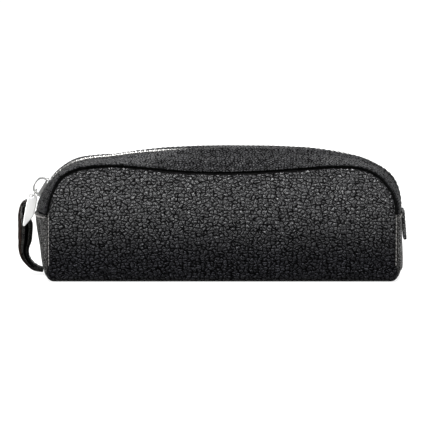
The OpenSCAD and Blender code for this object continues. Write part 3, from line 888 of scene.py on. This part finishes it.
def liningPanel(name, side, body, nodeName):
    floor = lining["floor"]
    patch = panelPatch(np.linspace(0, 1, 30), np.linspace(-1, 1, 60) * panel["halfLength"])
    x, z = patch[..., 0] * 0.982, floor + (patch[..., 1] - floor) * 0.97
    slack = lining["slack"] * (0.5 + 0.5 * ripple(x, z, 5, 30)) * rise(z, floor, 6)
    depth = panelDepth(x, z) - lining["inFromPanel"] - slack
    outer = pointsAt(x, side * depth, z)
    inner = pointsAt(x, side * (depth - lining["thickness"]), z)
    piece = closedSheet(name, outer, inner, liningCloth, body)
    standFor(nodeName)


def liningEnd(name, side, nodeName):
    outer, inner = [gussetGrid(side, 40, 26, inside, 0.8) for inside in lining["inFromEnd"]]
    piece = closedSheet(name, outer, inner, liningCloth, None)
    bendWithEnds(piece)
    standFor(nodeName)


liningPanel("frontLining", -1, "front_half", "front_lining")
liningPanel("rearLining", 1, "case", "rear_lining")
liningEnd("leftLining", -1, "left_end_lining")
liningEnd("rightLining", 1, "right_end_lining")


def baseLining():
    # it lies on the board and turns up a little all round
    low, high = boxMm("base_lining")
    pastX, pastY, turnUp = 3, 1.6, 1.2
    x, y = np.meshgrid(np.linspace(low[0] - pastX, high[0] + pastX, 90),
                       np.linspace(low[1] - pastY, high[1] + pastY, 30))
    edge = np.minimum(high[0] + pastX - np.abs(x), high[1] + pastY - np.abs(y))
    z = high[2] + 0.15 * ripple(x, y, 15, 28) + turnUp * np.exp(-edge / turnUp)
    top = pointsAt(x, y, z)
    under = pointsAt(x, y, z - lining["thickness"])
    piece = closedSheet("baseLining", top, under, liningCloth, "case")
    standFor("base_lining")


baseLining()
coat(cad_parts["base_stiffener"].data, boardCard)

tape = {
    "flat": (1.95, 2.6, 3.6, 4.5),     # distances from the zip's middle in its flat part
    # then on under the strip, as in its own profile
    "under": [(0.995, -0.75, 0), (0.93, -0.65, 0.9), (0.84, -0.5, 2.1), (0.76, -0.45, 2.8)],
    "half": 0.22,
}


def zipTape(name, side, body, nodeName):
    s = np.linspace(0.6, zipLine.length - 0.6, 240)
    middle, run = zipLine.at(s), zipLine.along(s)
    up = pointsAt(-run[:, 1], run[:, 0])
    start, chord, out = stripFrame(s / zipLine.length, side)
    full = fullness(s / zipLine.length)

    def layer(h):
        rows = [pointsAt(middle[:, 0] + up[:, 0] * h, np.full(len(s), side * a),
                         middle[:, 1] + up[:, 1] * h) for a in tape["flat"]]
        rows += [start + chord * t + out * (b + full * e + h - tape["half"])[:, None]
                 for t, b, e in tape["under"]]
        return np.stack(rows, 1)

    piece = closedSheet(name, layer(tape["half"]), layer(-tape["half"]), tapeCloth, body)
    standFor(nodeName)


zipTape("frontTape", -1, "front_half", "front_zip_tape")
zipTape("rearTape", 1, "case", "rear_zip_tape")
print("linings and tapes made")

# metal

for nodeName in ("front_teeth", "rear_teeth", "front_top_stop", "rear_top_stop", "bottom_stop"):
    coat(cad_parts[nodeName].data, toothMetal)
bevelled("slider_body", "sliderBody", 0.35, sliderMetal, "slider")
bevelled("slider_bridge", "sliderBridge", 0.28, sliderMetal, "slider")

link = {"wire": 0.45, "corner": 1.1, "lean": 0.58, "halfDrop": 2.0, "arcSteps": 8, "around": 12}


def wireLink():
    # round wire bent to a rounded oblong that spans Y and the line down to the pull tab
    low, high = boxMm("pull_link")
    wire, corner = link["wire"], link["corner"]
    centre = (low + high) / 2
    down = np.array([-link["lean"], 0, -math.sqrt(1 - link["lean"] ** 2)])
    halfY = (high[1] - low[1]) / 2 - wire
    line = []
    for sy, sd, begin in ((1, 1, 0), (-1, 1, 90), (-1, -1, 180), (1, -1, 270)):
        for k in range(link["arcSteps"] + 1):
            angle = math.radians(begin + k * 90 / link["arcSteps"])
            line.append(centre + np.array([0, 1, 0]) * (sy * (halfY - corner) + corner * math.cos(angle))
                        + down * (sd * (link["halfDrop"] - corner) + corner * math.sin(angle)))
    line = np.array(line)
    face = unit(np.cross([0, 1, 0], down))
    n, m = len(line), link["around"]
    rings = []
    for i in range(n):
        side = np.cross(unit(line[(i + 1) % n] - line[i - 1]), face)
        rings.append([line[i] + wire * (face * math.cos(a) + side * math.sin(a))
                      for a in np.linspace(0, 2 * math.pi, m + 1)[:-1]])
    # the last ring meets the first again
    faces = [tuple(v % (n * m) for v in quad) for quad in gridFaces(n + 1, m, 0, True)]
    piece = addMesh("wireLink", np.array(rings).reshape(-1, 3), faces, sliderMetal, "link")
    standFor("pull_link")


wireLink()

tab = {
    "bar": (-107.755, -2.85, 45.747), "down": (-0.25, -0.1, -0.96), "faceHint": (-0.08, -1, 0),
    "thick": 1.2, "hole": 1.1, "edge": 0.42,
    # outline across and down the tab, one side longer than the other
    "outline": [(-1.5, -1.9), (1.4, -1.9), (2.3, -1.2), (3.2, 1.2), (3.5, 5), (3.5, 10.2), (3.1, 11.6),
                (1.5, 14.9), (0.5, 16.9), (-0.2, 17.7), (-0.9, 17.3), (-1.3, 15.5), (-1.8, 10), (-2.1, 5),
                (-2.1, -1.2)],
}


def pullTab():
    # two faces with a hole for the link, joined round their outlines
    down = unit(np.array(tab["down"]))
    face = unit(np.cross(np.cross(down, tab["faceHint"]), down))
    across = np.cross(down, face)
    if across[0] < 0:
        across = -across
    b = bmesh.new()
    angles = np.linspace(0, 2 * math.pi, 17)[:-1]
    hole = [(tab["hole"] * math.cos(a), tab["hole"] * math.sin(a)) for a in angles]
    layers = []
    for lift in (-0.5, 0.5):
        middle = np.array(tab["bar"]) + face * (lift * tab["thick"])
        rings = [[b.verts.new(Vector((middle + across * x + down * d) * mm)) for x, d in ring]
                 for ring in (tab["outline"], hole)]
        edges = [b.edges.new((g[i], g[(i + 1) % len(g)])) for g in rings for i in range(len(g))]
        bmesh.ops.triangle_fill(b, use_beauty=True, edges=edges)
        layers.append(rings)
    for low, high in zip(*layers):
        for i in range(len(low)):
            k = (i + 1) % len(low)
            b.faces.new((low[i], low[k], high[k], high[i]))
    bmesh.ops.recalc_face_normals(b, faces=b.faces)
    bmesh.ops.dissolve_limit(b, angle_limit=0.02, verts=b.verts, edges=b.edges)
    mesh = bpy.data.meshes.new("pullTab")
    b.to_mesh(mesh)
    b.free()
    mesh.materials.append(tabMetal)
    piece = showObject("pullTab", mesh)
    easeEdges(piece, tab["edge"], 3, 0.7)
    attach(piece, "pull_tab")
    standFor("pull_tab")


pullTab()
print("zip metal made")

# carry loop and end tab

loop = {
    "line": [(-107.3, 38.4), (-109, 41.2), (-111.2, 42), (-113.2, 39.8), (-113.2, 34.5), (-112, 28),
             (-112.2, 21), (-113, 15.8), (-112.4, 11), (-110.2, 7.2), (-106.8, 4.3), (-101.9, 2.9)],
    "middleY": 1.8, "halfWidth": 4.0, "stations": 170, "around": 88,
    "halfThick": [(0, 0.8), (0.1, 1.3), (0.16, 1.7), (0.27, 2.9), (0.38, 4.3), (0.53, 4.0), (0.63, 3.2),
                  (0.72, 2.6), (0.8, 2.1), (0.89, 1.8), (1, 1.3)],
    # the gap between the layers and the fold's crease, each with its place across the thickness, -1 to 1
    "gap": 2.2, "gapAt": 0.3, "crease": 0.35, "creaseAt": -0.46,
    "stitchPitch": 2.6, "stitchFrom": 0.1, "stitchTo": 0.93, "stitchRows": (("Front", -2.5), ("Rear", 2.5)),
}


def carryLoop():
    # a folded strap whose section has two layers and swells along its line
    line = Path(loop["line"])
    f = np.linspace(0, 1, loop["stations"])
    at, run = line.at(f * line.length), line.along(f * line.length)
    out = pointsAt(-run[:, 1], run[:, 0])
    share, half = zip(*loop["halfThick"])
    thick = np.interp(f, share, half)
    a = np.linspace(0, 2 * math.pi, loop["around"], endpoint=False)
    ca, sa = np.cos(a), np.sin(a)
    y = loop["halfWidth"] * np.sign(ca) * np.abs(ca) ** 0.45
    m = np.sign(sa) * np.abs(sa) ** 0.7
    # the outer and inner layers show along both edge faces, with a deep gap where the strap is full
    edge = rise(np.abs(ca), 0.3, 0.3)
    full = np.clip((thick - 1.5) / 1.6, 0.12, 1)[:, None]
    creaseAt = loop["creaseAt"]
    fold = loop["crease"] * bell(m, creaseAt, 0.09) + 0.25 * np.clip(creaseAt - m, 0, 1)
    apart = loop["gap"] * np.exp(-((m - loop["gapAt"]) / 0.13) ** 4)
    y = y[None] - (np.sign(ca) * edge)[None] * (fold[None] + apart[None] * full)
    lift = m[None] * thick[:, None] + 0.12 * ripple(f[:, None] * line.length, a[None] * 3, 41, 14)
    rings = pointsAt(at[:, None, 0] + out[:, None, 0] * lift, loop["middleY"] + y,
                     at[:, None, 1] + out[:, None, 1] * lift)
    piece = closedRod("carryLoop", rings, strapLeather, "case")
    # painted shade: the faces in the gap between the strap's layers get the near-black groove leather
    inGap = edge * (np.abs(m - loop["gapAt"]) < 0.2) > 0.5
    paintFaces(piece, inGap[None] & (full[:-1] > 0.2), paintedGrooveShade)
    paintFaces(piece, np.repeat((edge * (m < -0.42) > 0.2)[None], len(f) - 1, 0), strapEdge)
    standFor("carry_loop")
    # stitches near both edges of the strap, on its outer and inner faces
    count = int(line.length * 0.8 / loop["stitchPitch"])
    g = np.linspace(loop["stitchFrom"], loop["stitchTo"], count)
    p, r = line.at(g * line.length), line.along(g * line.length)
    n = pointsAt(-r[:, 1], np.zeros(count), r[:, 0])
    h = np.interp(g, share, half)
    for label, face, thread in (("Outer", 1, threadBlack), ("Inner", -1, threadPale)):
        for edgeName, dy in loop["stitchRows"]:
            centre = pointsAt(p[:, 0], np.full(count, loop["middleY"] + dy), p[:, 1])
            stitches("loopStitches" + label + edgeName, centre + n * (h * 0.87 * face)[:, None], n * face,
                     thread, "case", {"radius": 0.22, "fill": 0.75})


carryLoop()

tabSeam = {"inset": 1.6, "corner": 3.2, "pitch": 2.2, "lean": 4.7}


def endTab():
    # the folded tab, and its stitches down one side, across and up the other
    bevelled("end_tab", "endTab", 0.7, tabLeatherPaintedLit, "case", 4)
    low, high = boxMm("end_tab")
    inset, corner = tabSeam["inset"], tabSeam["corner"]
    front, rear, top = low[1] + inset, high[1] - inset, high[2] - 1
    corners = [(front, top), (front, low[2] + corner), (low[1] + corner, low[2] + inset),
               (high[1] - corner, low[2] + inset), (rear, low[2] + corner), (rear, top)]
    points = []
    for (y0, z0), (y1, z1) in zip(corners, corners[1:]):
        steps = max(1, round(math.hypot(y1 - y0, z1 - z0) / tabSeam["pitch"]))
        points += [(y0 + (y1 - y0) * k / steps, z0 + (z1 - z0) * k / steps) for k in range(steps)]
    points.append(corners[-1])
    lean = math.tan(math.radians(tabSeam["lean"]))
    spots = [(high[0] - 0.05 - lean * (z - low[2]), y, z) for y, z in points]
    stitches("endTabStitches", spots, [(1, 0, 0)] * len(spots), threadBlack, "case",
             {"radius": 0.22, "fill": 0.75})


endTab()
print("carry loop and end tab made")

# floor, light and camera

studio = {"floorHalf": 3.2, "floorGrey": 0.3, "mirrored": 0.35, "ambient": 0.08,
          "glow": (0.2, 0.7, 0.8, 1.0)}     # near and far distance from the middle, and the glow there


def strengthFor(tree):
    # full for the camera, straight or through glass, and a share of it in mirrors
    seen = tree.nodes.new("ShaderNodeLightPath").outputs
    direct = maths(tree, "ADD", seen["Is Camera Ray"], seen["Is Transmission Ray"], clamp=True)
    return maths(tree, "MAXIMUM", direct, times(tree, seen["Is Glossy Ray"], studio["mirrored"]))


def stageFloor():
    half = studio["floorHalf"]
    mesh = bpy.data.meshes.new("floor")
    mesh.from_pydata([(-half, -half, 0), (half, -half, 0), (half, half, 0), (-half, half, 0)], [],
                     [(0, 1, 2, 3)])
    material, tree, shader, where = startMaterial("paleFloor")
    away = node(tree, "ShaderNodeVectorMath", operation="LENGTH", Vector=where)
    glow = remap(tree, away.outputs["Value"], *studio["glow"])
    setInputs(tree, shader, Base_Color=grey(studio["floorGrey"]), Roughness=0.9,
              Specular_IOR_Level=0.1, Emission_Color=grey(1),
              Emission_Strength=times(tree, glow, strengthFor(tree)))
    mesh.materials.append(material)
    showObject("floor", mesh)


def studioLight(name, place, aimHeight, size, power):
    lamp = bpy.data.lights.new(name, "AREA")
    lamp.shape = "RECTANGLE"
    lamp.size, lamp.size_y = size
    lamp.energy = power
    holder = showObject(name, lamp)
    holder.location = place
    toward = Vector((0, 0, aimHeight)) - Vector(place)
    holder.rotation_euler = toward.to_track_quat("-Z", "Y").to_euler()


stageFloor()
# name, place, height aimed at, size and power
studioLight("keySoftbox", (0.0, -0.52, 1.35), 0.04, (1.3, 0.45), 44)
studioLight("backSoftbox", (0.0, 0.9, 0.8), 0.03, (0.9, 0.5), 5)
studioLight("leftSoftbox", (-1.0, -0.3, 0.45), 0.04, (0.5, 0.5), 11)
studioLight("rightSoftbox", (1.0, -0.2, 0.4), 0.04, (0.5, 0.5), 4)

world = bpy.data.worlds.new("studio")
world.use_nodes = True
bpy.context.scene.world = world
tree = world.node_tree
setInputs(tree, tree.nodes["Background"], Color=grey(1),
          Strength=maths(tree, "MAXIMUM", strengthFor(tree), studio["ambient"]))

view = {"distance": 1.6, "elevation": math.radians(8.5), "frameWidth": 0.2404, "sensor": 36,
        "aim": (-0.0041, -0.026, 0.0385), "clip": (0.05, 20)}
camera = bpy.data.cameras.new("camera")
camera.sensor_width = view["sensor"]
camera.lens = view["sensor"] * view["distance"] / view["frameWidth"]
camera.clip_start, camera.clip_end = view["clip"]
holder = showObject("camera", camera)
back = Vector((0, -math.cos(view["elevation"]), math.sin(view["elevation"])))
holder.location = Vector(view["aim"]) + back * view["distance"]
holder.rotation_euler = (-back).to_track_quat("-Z", "Y").to_euler()
bpy.context.scene.camera = holder
bpy.context.scene.view_settings.view_transform = "Standard"

print("scene ready")
